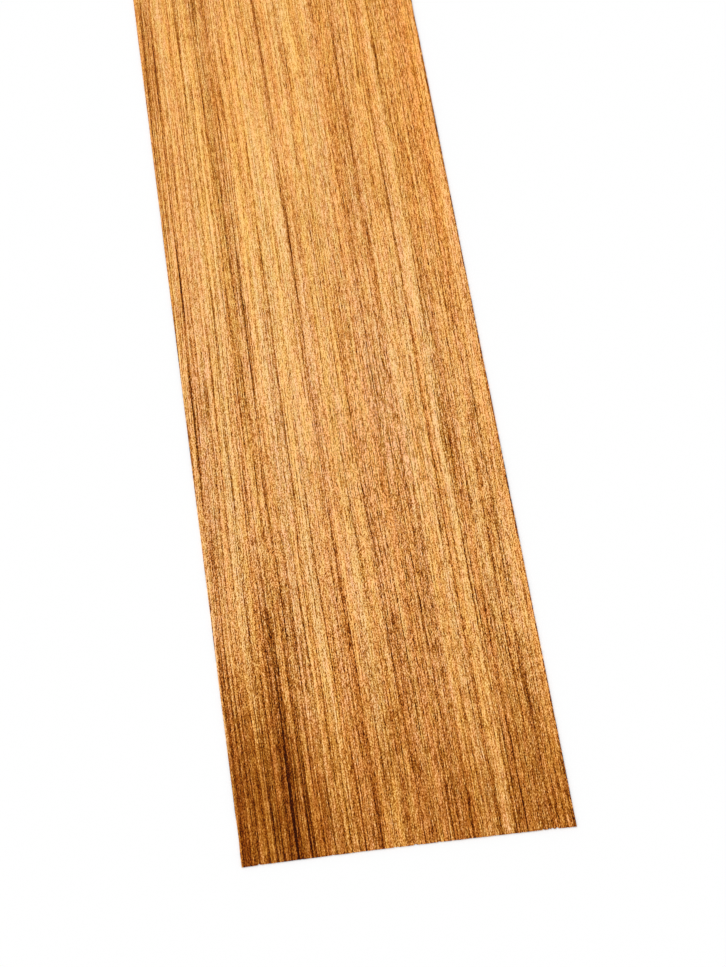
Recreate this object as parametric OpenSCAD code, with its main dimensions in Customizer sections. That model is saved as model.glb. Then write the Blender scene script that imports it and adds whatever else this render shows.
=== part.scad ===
// Wood veneer sheet: one thin slice of straight-grained hardwood.
// X is across the width, Y is along the grain and the length, Z is the
// thickness. The sheet lies flat on its back with the show face up, and the
// origin is the middle of the back face.

/* [Sheet] */
// Length of the sheet along the grain, in mm
sheet_length = 900; // [300:1:3000]
// Width of the sheet across the grain, in mm
sheet_width = 150; // [80:1:400]
// Thickness of the slice, in mm
sheet_thickness = 0.6; // [0.5:0.05:3]

/* [Cut ends] */
// How far the middle of each cross-cut end lies inside the straight line through its two corners, in mm
end_bow = 0.5; // [0:0.1:2]

/* [Hidden] */
// Straight runs that make up the curve of each cut end
end_runs = 24;

// Points along one cut end, from the left edge to the right edge.
// side is -1 for the near end and +1 for the far end.
function end_points(side) = [
    for (i = [0 : end_runs])
        let (t = 2 * i / end_runs - 1)
        [t * sheet_width / 2, side * (sheet_length / 2 - end_bow * (1 - t * t))]
];

function reversed(v) = [for (i = [len(v) - 1 : -1 : 0]) v[i]];

// The whole sheet: two straight guillotined long edges and two slightly
// bowed cross-cut ends, with flat faces.
module veneer_sheet() {
    color([0.76, 0.53, 0.29])
        linear_extrude(height = sheet_thickness)
            polygon(concat(end_points(-1), reversed(end_points(1))));
}

veneer_sheet();
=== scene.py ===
import math

import bpy
import numpy as np
from mathutils import Euler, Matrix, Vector


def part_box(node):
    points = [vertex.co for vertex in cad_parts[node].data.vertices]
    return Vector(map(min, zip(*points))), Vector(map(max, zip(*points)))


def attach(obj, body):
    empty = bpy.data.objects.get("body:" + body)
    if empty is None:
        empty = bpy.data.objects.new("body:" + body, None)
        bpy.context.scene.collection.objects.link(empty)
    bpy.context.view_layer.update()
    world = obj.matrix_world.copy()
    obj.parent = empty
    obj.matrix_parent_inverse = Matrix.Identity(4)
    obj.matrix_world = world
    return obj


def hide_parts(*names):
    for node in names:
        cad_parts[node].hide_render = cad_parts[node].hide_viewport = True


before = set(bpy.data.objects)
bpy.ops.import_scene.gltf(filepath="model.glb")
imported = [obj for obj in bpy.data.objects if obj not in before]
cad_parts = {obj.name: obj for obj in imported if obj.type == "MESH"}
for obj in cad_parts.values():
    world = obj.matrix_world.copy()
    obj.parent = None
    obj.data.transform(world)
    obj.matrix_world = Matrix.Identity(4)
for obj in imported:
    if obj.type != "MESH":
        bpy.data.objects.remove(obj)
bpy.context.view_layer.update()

MM = 0.001
lo, hi = (np.array(p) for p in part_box("veneer_sheet"))
WIDTH, LENGTH, THICK = (hi - lo)
X0, X1, Y0, Y1 = lo[0], hi[0], lo[1], hi[1]
END_BOW = 0.5 * MM


def srgb(r, g, b):
    """Display colour, 0 to 255, as linear light."""
    out = []
    for c in (r, g, b):
        c /= 255.0
        out.append(c / 12.92 if c <= 0.04045 else ((c + 0.055) / 1.055) ** 2.4)
    return tuple(out)


# ---------------------------------------------------------------- node helpers
class Net:
    """Makes the same little graph in a shader tree or in a geometry tree."""

    def __init__(self, tree):
        self.tree = tree

    def put(self, value, socket):
        if isinstance(value, bpy.types.NodeSocket):
            self.tree.links.new(value, socket)
        else:
            socket.default_value = value

    def math(self, op, a, b=None, c=None, clamp=False):
        n = self.tree.nodes.new("ShaderNodeMath")
        n.operation = op
        n.use_clamp = clamp
        for value, socket in zip((a, b, c), n.inputs):
            if value is not None:
                self.put(value, socket)
        return n.outputs[0]

    def add(self, a, b):
        return self.math("ADD", a, b)

    def sub(self, a, b):
        return self.math("SUBTRACT", a, b)

    def mul(self, a, b):
        return self.math("MULTIPLY", a, b)

    def mad(self, a, b, c):
        return self.math("MULTIPLY_ADD", a, b, c)

    def ramp(self, value, a, b, to_a=0.0, to_b=1.0, smooth=True):
        n = self.tree.nodes.new("ShaderNodeMapRange")
        n.interpolation_type = "SMOOTHSTEP" if smooth else "LINEAR"
        n.clamp = True
        self.put(value, n.inputs["Value"])
        self.put(a, n.inputs["From Min"])
        self.put(b, n.inputs["From Max"])
        n.inputs["To Min"].default_value = to_a
        n.inputs["To Max"].default_value = to_b
        return n.outputs["Result"]

    def noise(self, x, y, sx, sy, seed, detail=0.0, rough=0.5, distort=0.0):
        """Noise whose features are about sx by sy millimetres, from 0 to 1."""
        c = self.tree.nodes.new("ShaderNodeCombineXYZ")
        self.put(self.mad(x, 1.0 / sx, 13.37 * seed), c.inputs[0])
        self.put(self.mad(y, 1.0 / sy, 7.91 * seed), c.inputs[1])
        # turned, so that the noise's own lattice never lines up across the grain
        turn = self.tree.nodes.new("ShaderNodeVectorRotate")
        turn.rotation_type = "Z_AXIS"
        turn.inputs["Angle"].default_value = 0.45 + (0.61 * seed) % 0.7
        self.tree.links.new(c.outputs[0], turn.inputs["Vector"])
        n = self.tree.nodes.new("ShaderNodeTexNoise")
        n.noise_dimensions = "2D"
        n.inputs["Scale"].default_value = 1.0
        n.inputs["Detail"].default_value = detail
        n.inputs["Roughness"].default_value = rough
        n.inputs["Distortion"].default_value = distort
        self.tree.links.new(turn.outputs[0], n.inputs["Vector"])
        return n.outputs[0]

    def centred(self, x, y, sx, sy, seed, **more):
        return self.sub(self.noise(x, y, sx, sy, seed, **more), 0.5)

    def blend(self, factor, a, b, kind="MIX"):
        n = self.tree.nodes.new("ShaderNodeMix")
        n.data_type = "RGBA"
        n.blend_type = kind
        self.put(factor, n.inputs[0])
        self.put(a, n.inputs[6])
        self.put(b, n.inputs[7])
        return n.outputs[2]

    def tint(self, colour, by):
        return self.blend(1.0, colour, by, "MULTIPLY")

    def bell(self, s, centre, half):
        """A smooth bump, 1 at centre and near 0 past twice the half width."""
        d = self.mad(s, 1.0 / half, -centre / half)
        return self.math("EXPONENT", self.mul(self.mul(d, d), -1.0))


# ---------------------------------------------------------------- the figure
# Streaks that run the length of the sheet: place across the width in mm, half
# width in mm, and how much lighter or darker than the wood around them.
STREAKS = [
    (48.0, 1.9, 0.075),
    (44.0, 1.3, -0.050),
    (52.5, 2.2, -0.060),
    (59.5, 5.5, -0.045),
    (66.0, 7.0, -0.045),
    (73.5, 2.0, 0.020),
    (27.5, 7.0, -0.050),
    (10.0, 6.0, -0.025),
    (19.0, 0.8, 0.050),
    (3.5, 3.2, -0.035),
    (-5.5, 1.2, 0.050),
    (-8.5, 0.9, -0.060),
    (-17.5, 3.0, 0.035),
    (-24.0, 0.9, -0.050),
    (-36.0, 1.1, -0.070),
    (-41.5, 2.2, -0.085),
    (-46.0, 1.0, -0.045),
    (-52.0, 1.1, -0.080),
    (-60.0, 2.4, 0.025),
    (-66.5, 1.1, -0.110),
    (-71.0, 0.9, -0.080),
]


# Thin dark lines that come and go along the sheet: place and half width in mm,
# then how dark they are towards the middle of the sheet and at its near end.
LINES = [
    (-72.2, 0.56, -0.47, -0.33),
    (-70.0, 0.34, -0.22, -0.15),
    (-67.0, 1.50, 0.00, 0.13),
    (-66.5, 0.56, -0.55, -0.10),
    (-63.2, 0.34, -0.18, -0.30),
    (-61.6, 1.50, 0.00, -0.15),
    (-59.5, 0.34, -0.22, -0.18),
    (-56.0, 0.34, -0.11, -0.26),
    (-52.0, 0.45, -0.33, -0.26),
    (-49.3, 0.34, -0.19, -0.25),
    (-46.0, 0.42, -0.14, -0.38),
    (-43.5, 0.60, -0.25, -0.44),
    (-42.0, 0.39, -0.30, -0.37),
    (-40.4, 0.39, -0.25, -0.15),
    (-37.9, 0.39, -0.11, -0.37),
    (-36.4, 0.45, -0.33, -0.29),
    (-33.0, 0.34, -0.15, -0.19),
    (-28.0, 0.39, -0.14, -0.33),
    (-24.0, 0.39, -0.26, -0.15),
    (-21.5, 0.34, -0.11, -0.22),
    (-18.4, 0.39, -0.25, -0.40),
    (-15.8, 0.34, -0.22, -0.29),
    (-11.5, 0.30, -0.10, -0.24),
    (-8.2, 0.35, -0.28, -0.16),
    (2.2, 0.35, -0.16, -0.26),
    (5.5, 0.30, -0.16, -0.10),
    (8.8, 0.30, -0.12, -0.16),
    (15.5, 0.30, -0.14, -0.18),
    (22.5, 0.35, -0.20, -0.14),
    (25.7, 0.35, -0.14, -0.26),
    (31.5, 0.35, -0.20, -0.16),
    (38.0, 0.30, -0.12, -0.16),
    (41.4, 0.30, -0.10, -0.24),
    (44.2, 0.40, -0.26, -0.26),
    (51.5, 0.40, -0.28, -0.34),
    (53.4, 0.30, -0.14, -0.26),
    (56.5, 0.30, -0.20, -0.22),
    (60.2, 0.30, -0.20, -0.16),
    (63.8, 0.35, -0.16, -0.28),
    (68.2, 0.40, -0.20, -0.34),
    (73.4, 0.35, -0.14, -0.28),
]


def figure(net, x, y):
    """The wood's figure at x, y in millimetres. Gives a dictionary of values."""
    # fibres lean and wander a little on their way along the sheet
    lean = net.mul(net.ramp(x, -12.0, -78.0, 0.0, 8.5), net.ramp(y, -110.0, -400.0))
    lean2 = net.mul(net.ramp(x, 0.0, 60.0, 0.0, 1.8), net.ramp(y, -60.0, -420.0))
    wander = net.mul(net.centred(x, y, 60.0, 260.0, 1), 4.0)
    ripple = net.mul(net.centred(x, y, 16.0, 60.0, 2), 0.9)
    s = net.add(net.add(x, net.add(lean, lean2)), net.add(wander, ripple))

    slow = net.centred(s, y, 16.0, 700.0, 3, detail=1.0)
    band = net.centred(s, y, 4.5, 420.0, 4, detail=2.0, rough=0.6)
    mid = net.centred(s, y, 1.5, 150.0, 5, detail=1.0, rough=0.7)
    strand = net.centred(s, y, 0.62, 220.0, 14, detail=1.0, rough=0.6)
    line_n = net.noise(s, y, 0.75, 48.0, 6, detail=2.0, rough=0.65)
    pore_n = net.noise(s, y, 0.50, 7.0, 7, detail=1.0, rough=0.6)
    fibre = net.centred(s, y, 0.42, 2.6, 8, detail=1.0, rough=0.6)
    grit = net.centred(s, y, 0.42, 0.75, 16)
    mottle = net.centred(x, y, 5.0, 8.0, 9, detail=2.0, rough=0.6)
    cloud = net.centred(x, y, 38.0, 70.0, 10, detail=1.0)

    gain = net.ramp(net.noise(s, y, 7.0, 110.0, 11), 0.25, 0.72, 0.35, 1.45)
    streak = None
    for centre, half, amount in STREAKS:
        one = net.mul(net.bell(s, centre, half), amount)
        streak = one if streak is None else net.add(streak, one)
    streak = net.mul(streak, gain)

    # darker bands hold more of the thin dark lines
    local = net.mad(streak, -0.6, net.mad(band, -0.10, net.mul(slow, -0.10)))
    line = net.ramp(line_n, net.add(local, 0.53), net.add(local, 0.30))
    pore = net.ramp(pore_n, net.mad(local, 0.5, 0.49), net.mad(local, 0.5, 0.27))
    # hair-thin lines that run on for hundreds of millimetres
    hair_n = net.math("ABSOLUTE", net.centred(s, y, 2.6, 240.0, 12, detail=1.0, rough=0.5))
    hair_on = net.ramp(net.noise(s, y, 2.2, 75.0, 13), net.mad(local, -1.5, 0.56), net.mad(local, -1.5, 0.34))
    hair_w = net.ramp(x, 10.0, -60.0, 0.022, 0.036)
    hair = net.mul(net.ramp(hair_n, hair_w, 0.004), hair_on)
    thin = None
    near = net.ramp(y, -190.0, -340.0)
    for centre, half, amount, at_end in LINES:
        one = net.mul(net.bell(s, centre, half), net.mad(near, at_end - amount, amount))
        thin = one if thin is None else net.add(thin, one)
    # they break up less, and bite deeper, towards the near end
    gate = net.ramp(net.noise(s, y, 2.0, 70.0, 15, detail=2.0), 0.32, 0.66, 0.08, 1.15)
    thin = net.mul(thin, net.math("MAXIMUM", gate, net.mul(near, 0.45)))
    thin = net.mul(thin, net.mad(near, 0.20, 1.0))
    return {
        "s": s, "slow": slow, "band": band, "mid": mid, "line": line,
        "pore": pore, "hair": hair, "fibre": fibre, "mottle": mottle, "cloud": cloud,
        "streak": streak, "thin": thin, "strand": strand, "grit": grit,
    }


# ---------------------------------------------------------------- the mesh
NX, NY = 300, 150          # cells across and along each face


def smooth_noise(rng, n, step):
    """n values from -1 to 1 that change over about step places."""
    knots = rng.uniform(-1, 1, int(n / step) + 4)
    t = np.arange(n) / step
    i = t.astype(int)
    f = t - i
    f = f * f * (3 - 2 * f)
    return knots[i] * (1 - f) + knots[i + 1] * f


def edge_bites(rng, n, step, depth, chance, bite):
    """How far an edge stands inside its straight line at n places, in metres."""
    base = 0.5 + 0.3 * smooth_noise(rng, n, step) + 0.2 * smooth_noise(rng, n, 1.0)
    out = depth * np.clip(base, 0, 1)
    for i in np.flatnonzero(rng.random(n) < chance):
        span = int(rng.integers(1, 3))
        out[i:i + span] += bite * rng.uniform(0.3, 1.0)
    return out


def sheet_mesh():
    rng = np.random.default_rng(29)
    # columns sit a little unevenly, as fibres do
    u = np.linspace(0, 1, NX + 1)
    u[1:-1] += rng.uniform(-0.22, 0.22, NX - 1) / NX
    v = np.linspace(0, 1, NY + 1)
    v[1:-1] += rng.uniform(-0.18, 0.18, NY - 1) / NY
    t = 2 * u - 1
    bow = END_BOW * (1 - t * t)
    near = Y0 + bow + edge_bites(rng, NX + 1, 5.0, 0.16 * MM, 0.05, 0.55 * MM)
    far = Y1 - bow - edge_bites(rng, NX + 1, 5.0, 0.16 * MM, 0.05, 0.55 * MM)
    left = X0 + edge_bites(rng, NY + 1, 4.0, 0.12 * MM, 0.04, 0.22 * MM)
    right = X1 - edge_bites(rng, NY + 1, 4.0, 0.12 * MM, 0.04, 0.22 * MM)
    # the bites fade out at the corners, where the outline touches the CAD box
    for edge, straight, size in ((near, Y0 + bow, WIDTH), (far, Y1 - bow, WIDTH),
                                 (left, X0, LENGTH), (right, X1, LENGTH)):
        along = np.linspace(0, size, len(edge))
        fade = np.clip(np.minimum(along, size - along) / (3 * MM if size == WIDTH else 9 * MM), 0, 1)
        edge[:] = straight + (edge - straight) * fade
    near[0] = near[-1] = Y0
    far[0] = far[-1] = Y1
    left[0] = left[-1] = X0
    right[0] = right[-1] = X1

    U, Vv = np.meshgrid(u, v)                      # rows along the length
    # the edge's bites fade out within the first millimetres of the face
    xs = np.outer(left, 1 - u) + np.outer(right, u)
    fall = np.exp(-((Vv * LENGTH) / (5 * MM)))
    fall2 = np.exp(-(((1 - Vv) * LENGTH) / (5 * MM)))
    ys = (Y0 + Vv * LENGTH) + fall * (near - Y0)[None, :] + fall2 * (far - Y1)[None, :]
    n = (NX + 1) * (NY + 1)
    top = np.stack([xs.ravel(), ys.ravel(), np.full(n, THICK)], 1)
    bottom = np.stack([xs.ravel(), ys.ravel(), np.zeros(n)], 1)

    idx = np.arange(n).reshape(NY + 1, NX + 1)
    a, b, c, d = idx[:-1, :-1], idx[:-1, 1:], idx[1:, 1:], idx[1:, :-1]
    quads_top = np.stack([a, b, c, d], -1).reshape(-1, 4)
    quads_bottom = np.stack([a, d, c, b], -1).reshape(-1, 4) + n

    # the rim, in order round the sheet, counter-clockwise from above
    rim = np.concatenate([idx[0, :-1], idx[:-1, -1], idx[-1, :0:-1], idx[:0:-1, 0]])
    m = len(rim)
    verts = [top, bottom]
    # two inner rings on the wall: the cut is a little hollow and torn
    centre = np.array([0.0, 0.0])
    rings = []
    start = 2 * n
    for level, depth in ((0.68, 0.035 * MM), (0.30, 0.05 * MM)):
        ring = top[rim].copy()
        ring[:, 2] = THICK * (level + 0.06 * smooth_noise(rng, m, 1.0))
        push = depth * (0.5 + 0.5 * smooth_noise(rng, m, 1.0))
        nx = np.zeros(m); ny = np.zeros(m)
        nx[:] = np.where(np.isclose(top[rim][:, 0], X0, atol=1 * MM), 1.0, np.where(np.isclose(top[rim][:, 0], X1, atol=1 * MM), -1.0, 0.0))
        ny[:] = np.where(top[rim][:, 1] < Y0 + 2 * MM, 1.0, np.where(top[rim][:, 1] > Y1 - 2 * MM, -1.0, 0.0))
        ring[:, 0] += nx * push
        ring[:, 1] += ny * push
        verts.append(ring)
        rings.append(start + np.arange(m))
        start += m
    loops = [rim, rings[0], rings[1], rim + n]
    walls = []
    for upper, lower in zip(loops[:-1], loops[1:]):
        nxt_u, nxt_l = np.roll(upper, -1), np.roll(lower, -1)
        walls.append(np.stack([upper, lower, nxt_l, nxt_u], 1))
    verts = np.concatenate(verts)
    faces = np.concatenate([quads_top, quads_bottom, *walls])

    me = bpy.data.meshes.new("veneer_sheet_wood")
    me.from_pydata(verts.tolist(), [], faces.tolist())
    me.update()
    # crisp arrises where the faces meet the cut edges
    edge_key = {tuple(sorted(e.vertices)): e.index for e in me.edges}
    sharp = np.zeros(len(me.edges), bool)
    for loop in (rim, rim + n):
        for p, q in zip(loop, np.roll(loop, -1)):
            sharp[edge_key[tuple(sorted((int(p), int(q))))]] = True
    me.attributes.new("sharp_edge", "BOOLEAN", "EDGE").data.foreach_set("value", sharp)
    me.shade_smooth()
    me.attributes["sharp_edge"].data.foreach_set("value", sharp)

    # one flat layout for both faces, in true proportion
    uv = me.uv_layers.new(name="sheet")
    vi = np.empty(len(me.loops), int)
    me.loops.foreach_get("vertex_index", vi)
    co = verts[vi]
    normal_up = np.repeat(
        np.array([p.normal.z for p in me.polygons]),
        np.array([p.loop_total for p in me.polygons]),
    )
    side = np.where(normal_up < -0.5, 1.0, 0.0)
    uu = (co[:, 0] - X0) / LENGTH + side * 0.2
    vv = (co[:, 1] - Y0) / LENGTH
    wall = np.abs(normal_up) <= 0.5
    uu = np.where(wall, 0.42 + co[:, 2] / LENGTH * 8, uu)
    uv.data.foreach_set("uv", np.stack([uu, vv], 1).astype(np.float32).ravel())
    return me


def relief_group():
    """Presses the figure's lines and pores into both faces as shallow furrows."""
    g = bpy.data.node_groups.new("veneer_relief", "GeometryNodeTree")
    g.interface.new_socket("Geometry", in_out="INPUT", socket_type="NodeSocketGeometry")
    g.interface.new_socket("Geometry", in_out="OUTPUT", socket_type="NodeSocketGeometry")
    net = Net(g)
    gin = g.nodes.new("NodeGroupInput")
    gout = g.nodes.new("NodeGroupOutput")
    pos = g.nodes.new("GeometryNodeInputPosition")
    sep = g.nodes.new("ShaderNodeSeparateXYZ")
    g.links.new(pos.outputs[0], sep.inputs[0])
    x = net.mul(sep.outputs[0], 1000.0)
    y = net.mul(sep.outputs[1], 1000.0)
    z = net.mul(sep.outputs[2], 1000.0)
    f = figure(net, x, y)
    inner_x = net.ramp(net.math("ABSOLUTE", x), WIDTH * 500 - 0.7, WIDTH * 500 - 1.6)
    inner_y = net.ramp(net.math("ABSOLUTE", y), LENGTH * 500 - 1.0, LENGTH * 500 - 6.0)
    inner = net.mul(inner_x, inner_y)
    soft = net.mad(f["band"], -0.02, net.mad(f["fibre"], -0.02, 0.012))
    depth = net.mad(f["line"], 0.030, net.mad(f["pore"], 0.016, soft))
    depth = net.math("MAXIMUM", depth, 0.0)
    depth = net.mul(depth, inner)
    # the back, the loose side of the slice, has fine open checks as well
    checks = net.ramp(net.noise(f["s"], y, 1.4, 16.0, 21, detail=1.0), 0.40, 0.30)
    back = net.mul(net.mad(checks, 0.030, net.mul(depth, 0.8)), inner)
    is_top = net.math("GREATER_THAN", z, THICK * 1000 - 0.02)
    is_back = net.math("LESS_THAN", z, 0.02)
    dz = net.sub(net.mul(back, is_back), net.mul(depth, is_top))
    off = g.nodes.new("ShaderNodeCombineXYZ")
    net.put(net.mul(dz, 0.001), off.inputs[2])
    setp = g.nodes.new("GeometryNodeSetPosition")
    g.links.new(gin.outputs[0], setp.inputs["Geometry"])
    g.links.new(off.outputs[0], setp.inputs["Offset"])
    g.links.new(setp.outputs[0], gout.inputs[0])
    return g


def applied(obj):
    """The object's mesh with its modifiers made real."""
    deps = bpy.context.evaluated_depsgraph_get()
    me = bpy.data.meshes.new_from_object(obj.evaluated_get(deps))
    obj.modifiers.clear()
    old = obj.data
    obj.data = me
    bpy.data.meshes.remove(old)


# ---------------------------------------------------------------- the wood
def wood_material():
    mat = bpy.data.materials.new("veneer_wood")
    mat.use_nodes = True
    tree = mat.node_tree
    tree.nodes.clear()
    net = Net(tree)
    out = tree.nodes.new("ShaderNodeOutputMaterial")
    bsdf = tree.nodes.new("ShaderNodeBsdfPrincipled")
    tree.links.new(bsdf.outputs[0], out.inputs[0])
    coord = tree.nodes.new("ShaderNodeTexCoord")
    sep = tree.nodes.new("ShaderNodeSeparateXYZ")
    tree.links.new(coord.outputs["Object"], sep.inputs[0])
    x = net.mul(sep.outputs[0], 1000.0)
    y = net.mul(sep.outputs[1], 1000.0)
    z = net.mul(sep.outputs[2], 1000.0)
    f = figure(net, x, y)

    # tone along the sheet: golden over most of it, deeper amber and darker to the near end, most of all at its left
    # corner; part of that darkening is painted shade, standing in for light falling off towards the near end
    y_soft = net.mad(f["cloud"], 50.0, y)
    near_end_tone_and_shade = net.ramp(y_soft, -315.0, -450.0)
    near_left_tone_and_shade = net.mul(net.ramp(y, -305.0, -440.0), net.ramp(f["s"], -16.0, -44.0))
    left = net.ramp(f["s"], -24.0, -44.0)
    # deeper amber tone and painted shade towards the near end and its left corner
    v = net.mad(near_end_tone_and_shade, -0.225, 1.0)
    v = net.mad(near_left_tone_and_shade, -0.205, v)
    v = net.mad(left, net.ramp(y, -170.0, -60.0, 0.015, -0.02), v)
    right = net.mul(net.ramp(x, 58.0, 70.0), net.ramp(y, -190.0, -260.0))
    v = net.mad(right, -0.028, v)
    # a little lighter about a quarter of the way along, away from the right edge: painted sheen
    v = net.mad(net.mul(net.bell(y, -220.0, 95.0), net.ramp(x, 25.0, 60.0, 1.0, 0.2)), 0.022, v)
    v = net.mad(f["slow"], 0.15, v)
    even = net.mul(net.ramp(y, -360.0, -440.0, 1.0, 0.88), net.ramp(x, -30.0, 10.0, 1.0, 0.80))
    v = net.mad(f["band"], net.mul(even, 0.185), v)
    v = net.mad(f["mid"], net.mul(even, 0.20), v)
    fine = net.mul(net.ramp(y, -60.0, -340.0, 1.0, 1.3), net.ramp(y, -350.0, -430.0, 1.0, 0.72))
    calm = net.mad(near_left_tone_and_shade, -0.28, 1.0)
    fine = net.mul(fine, calm)
    v = net.mad(f["fibre"], net.mul(fine, 0.88), v)
    v = net.mad(f["grit"], net.mul(fine, net.ramp(y, -60.0, -340.0, 0.62, 0.84)), v)
    crisp = net.mul(calm, net.ramp(y, -60.0, -250.0, 1.0, 1.30))
    v = net.mad(f["strand"], net.mul(crisp, net.ramp(x, 10.0, -60.0, 0.40, 0.62)), v)
    v = net.mad(f["mottle"], net.ramp(y, -150.0, -330.0, 0.18, 0.30), v)
    v = net.mad(f["cloud"], 0.08, v)
    bold = net.ramp(x, -30.0, 10.0, 1.0, 0.78)
    v = net.mad(net.mul(f["streak"], bold), net.mul(net.ramp(y, -120.0, -300.0, 0.70, 0.84), net.mad(near_left_tone_and_shade, -0.45, 1.0)), v)
    v = net.mad(f["line"], net.mul(crisp, net.ramp(x, 10.0, -50.0, -0.22, -0.26)), v)
    v = net.mad(f["pore"], net.mul(fine, net.ramp(x, -30.0, 20.0, -0.22, -0.29)), v)
    v = net.mad(f["hair"], -0.26, v)
    v = net.mad(f["thin"], net.mad(near_left_tone_and_shade, -0.12, 1.0), v)

    # cut edges: bruised and darker for about half a millimetre, most of all the right edge and the two cross-cut
    # ends; the darkening, strongest along the right edge, is painted edge shade as well as bruising
    torn = net.ramp(net.noise(x, y, 1.2, 1.6, 33, detail=1.0), 0.30, 0.60, 0.35, 1.0)
    # bruising and painted edge shade along the right edge
    right_rim_bruise_and_shade = net.ramp(x, WIDTH * 500 - 1.0, WIDTH * 500 - 0.2, 0.0, 0.50)
    left_rim = net.ramp(x, 0.6 - WIDTH * 500, 0.05 - WIDTH * 500, 0.0, 0.12)
    end_rim = net.ramp(net.math("ABSOLUTE", y), LENGTH * 500 - 1.2, LENGTH * 500 - 0.4, 0.0, 0.08)
    rim = net.math("MAXIMUM", net.math("MAXIMUM", right_rim_bruise_and_shade, left_rim), end_rim)
    v = net.sub(v, net.mul(rim, torn))

    cr = tree.nodes.new("ShaderNodeValToRGB")
    stops = [
        (0.10, (50, 12, 0)),
        (0.26, (99, 38, 2)),
        (0.43, (144, 73, 6)),
        (0.56, (170, 99, 26)),
        (0.66, (191, 119, 44)),
        (0.75, (208, 136, 60)),
        (0.82, (222, 152, 75)),
        (0.89, (237, 168, 90)),
        (0.96, (252, 184, 105)),
        (1.06, (259, 200, 127)),
        (1.18, (264, 210, 143)),
    ]
    while len(cr.color_ramp.elements) < len(stops):
        cr.color_ramp.elements.new(0.5)
    for e, (p, c) in zip(cr.color_ramp.elements, stops):
        e.position = p / 1.2
        e.color = (*(k * ALBEDO for k in srgb(*c)), 1.0)
    net.put(net.mul(v, 1 / 1.2), cr.inputs[0])

    # the hue drifts from fibre to fibre, redder or yellower, rosier or more golden
    hue = net.noise(f["s"], y, 2.2, 7.0, 31, detail=2.0, rough=0.6)
    hue2 = net.noise(f["s"], y, 2.4, 12.0, 32, detail=2.0, rough=0.6)
    hue = net.add(hue, net.mad(f["slow"], 0.5, net.mul(f["band"], 0.7)))
    red_yellow = net.blend(net.ramp(hue, 0.30, 0.70, smooth=False), (1.026, 0.946, 0.99, 1), (0.979, 1.045, 0.975, 1))
    rose_gold = net.blend(net.ramp(hue2, 0.34, 0.66, smooth=False), (1.0, 1.0, 0.895, 1), (1.0, 1.0, 1.105, 1))
    # and from stripe to stripe, deeper orange or paler
    rich = net.ramp(net.noise(f["s"], y, 5.5, 130.0, 34, detail=2.0), 0.34, 0.66, smooth=False)
    stripe = net.blend(rich, (0.988, 1.021, 1.14, 1), (1.016, 0.970, 0.845, 1))
    # painted sheen about a quarter of the way along, paler and bluer; richer beyond, and orange at the right edge
    painted_sheen = net.mul(net.bell(y_soft, -235.0, 130.0), net.ramp(x, 20.0, 60.0, 1.0, 0.35))
    along = net.blend(painted_sheen, (1.0, 1.0, 1.0, 1), (0.996, 1.028, 1.125, 1))
    beyond = net.blend(net.ramp(y_soft, -230.0, -70.0), (1.0, 1.0, 1.0, 1), (1.0, 0.988, 0.89, 1))
    golden = net.mul(net.bell(x, -22.0, 26.0), net.bell(y, -160.0, 60.0))
    gold = net.blend(golden, (1.0, 1.0, 1.0, 1), (0.997, 1.055, 1.045, 1))
    flush = net.mul(net.bell(x, 4.0, 5.0), net.mul(net.bell(y, -74.0, 22.0), 0.8))
    orange = net.mul(net.ramp(x, 52.0, 72.0), net.ramp(y, -330.0, -120.0, 0.35, 1.0))
    edge = net.blend(net.math("MAXIMUM", orange, flush), (1.0, 1.0, 1.0, 1), (1.035, 0.955, 0.90, 1))
    wood = cr.outputs[0]
    for by in (red_yellow, rose_gold, stripe, along, beyond, gold, edge):
        wood = net.tint(wood, by)
    tree.links.new(wood, bsdf.inputs["Base Color"])

    rough = net.mad(f["line"], 0.12, net.mad(f["fibre"], 0.25, 0.55))
    net.put(rough, bsdf.inputs["Roughness"])
    bsdf.inputs["Specular IOR Level"].default_value = 0.04
    bsdf.inputs["IOR"].default_value = 1.5

    height = net.mad(f["line"], -0.5, net.mad(f["pore"], -0.4, net.mul(f["fibre"], 0.5)))
    bump = tree.nodes.new("ShaderNodeBump")
    bump.inputs["Strength"].default_value = 0.6
    bump.inputs["Distance"].default_value = 0.00006
    net.put(height, bump.inputs["Height"])
    tree.links.new(bump.outputs[0], bsdf.inputs["Normal"])
    return mat


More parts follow.
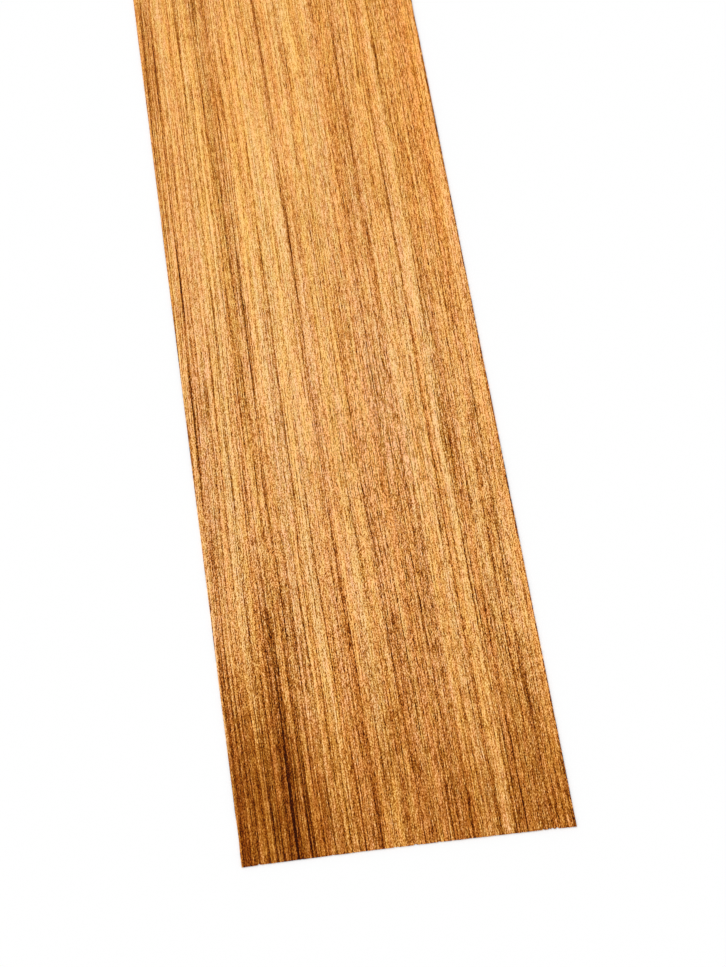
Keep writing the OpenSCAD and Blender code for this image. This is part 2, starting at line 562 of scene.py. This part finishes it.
def floor_material():
    mat = bpy.data.materials.new("studio_floor")
    mat.use_nodes = True
    b = mat.node_tree.nodes["Principled BSDF"]
    b.inputs["Base Color"].default_value = (0.9, 0.9, 0.9, 1)
    b.inputs["Roughness"].default_value = 0.9
    b.inputs["Specular IOR Level"].default_value = 0.0
    return mat


ALBEDO = 0.885

# ---------------------------------------------------------------- camera
cam_data = bpy.data.cameras.new("camera")
cam = bpy.data.objects.new("camera", cam_data)
bpy.context.collection.objects.link(cam)
cam_data.sensor_fit = "AUTO"
cam_data.sensor_width = 36.0
cam_data.lens = 780 * 36 / 967
cam_data.clip_start = 0.01
cam_data.clip_end = 50
cam.location = (0.0620, -0.3537, 0.3608)
cam.rotation_euler = Euler((math.radians(8.870), math.radians(10.033), math.radians(-9.384)), "XYZ")
bpy.context.scene.camera = cam

# ---------------------------------------------------------------- sheet
sheet = bpy.data.objects.new("veneer_sheet_wood", sheet_mesh())
bpy.context.collection.objects.link(sheet)
mod = sheet.modifiers.new("relief", "NODES")
mod.node_group = relief_group()
applied(sheet)
sheet.data.name = "veneer_sheet_wood"
sheet.data.materials.clear()
sheet.data.materials.append(wood_material())
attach(sheet, "root")
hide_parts("veneer_sheet")

# ---------------------------------------------------------------- floor, light
bpy.ops.mesh.primitive_circle_add(vertices=96, radius=30.0, fill_type="NGON", location=(0, 0, -0.00005))
floor = bpy.context.object
floor.name = "studio_floor"
floor.data.materials.append(floor_material())

world = bpy.data.worlds.new("studio")
bpy.context.scene.world = world
world.use_nodes = True
bg = world.node_tree.nodes["Background"]
bg.inputs[0].default_value = (1.0, 1.0, 1.0, 1)
bg.inputs[1].default_value = 0.77


# one broad soft light from beyond the far end, high and a little to the left
data = bpy.data.lights.new("key", "SUN")
data.energy = 1.31
data.angle = math.radians(35)
key = bpy.data.objects.new("key", data)
bpy.context.collection.objects.link(key)
key.location = (-0.35, 0.95, 1.55)
key.rotation_euler = (Vector((0.0, -0.1, 0.0)) - key.location).to_track_quat("-Z", "Y").to_euler()

bpy.context.scene.view_settings.view_transform = "Standard"
bpy.context.scene.view_settings.look = "None"
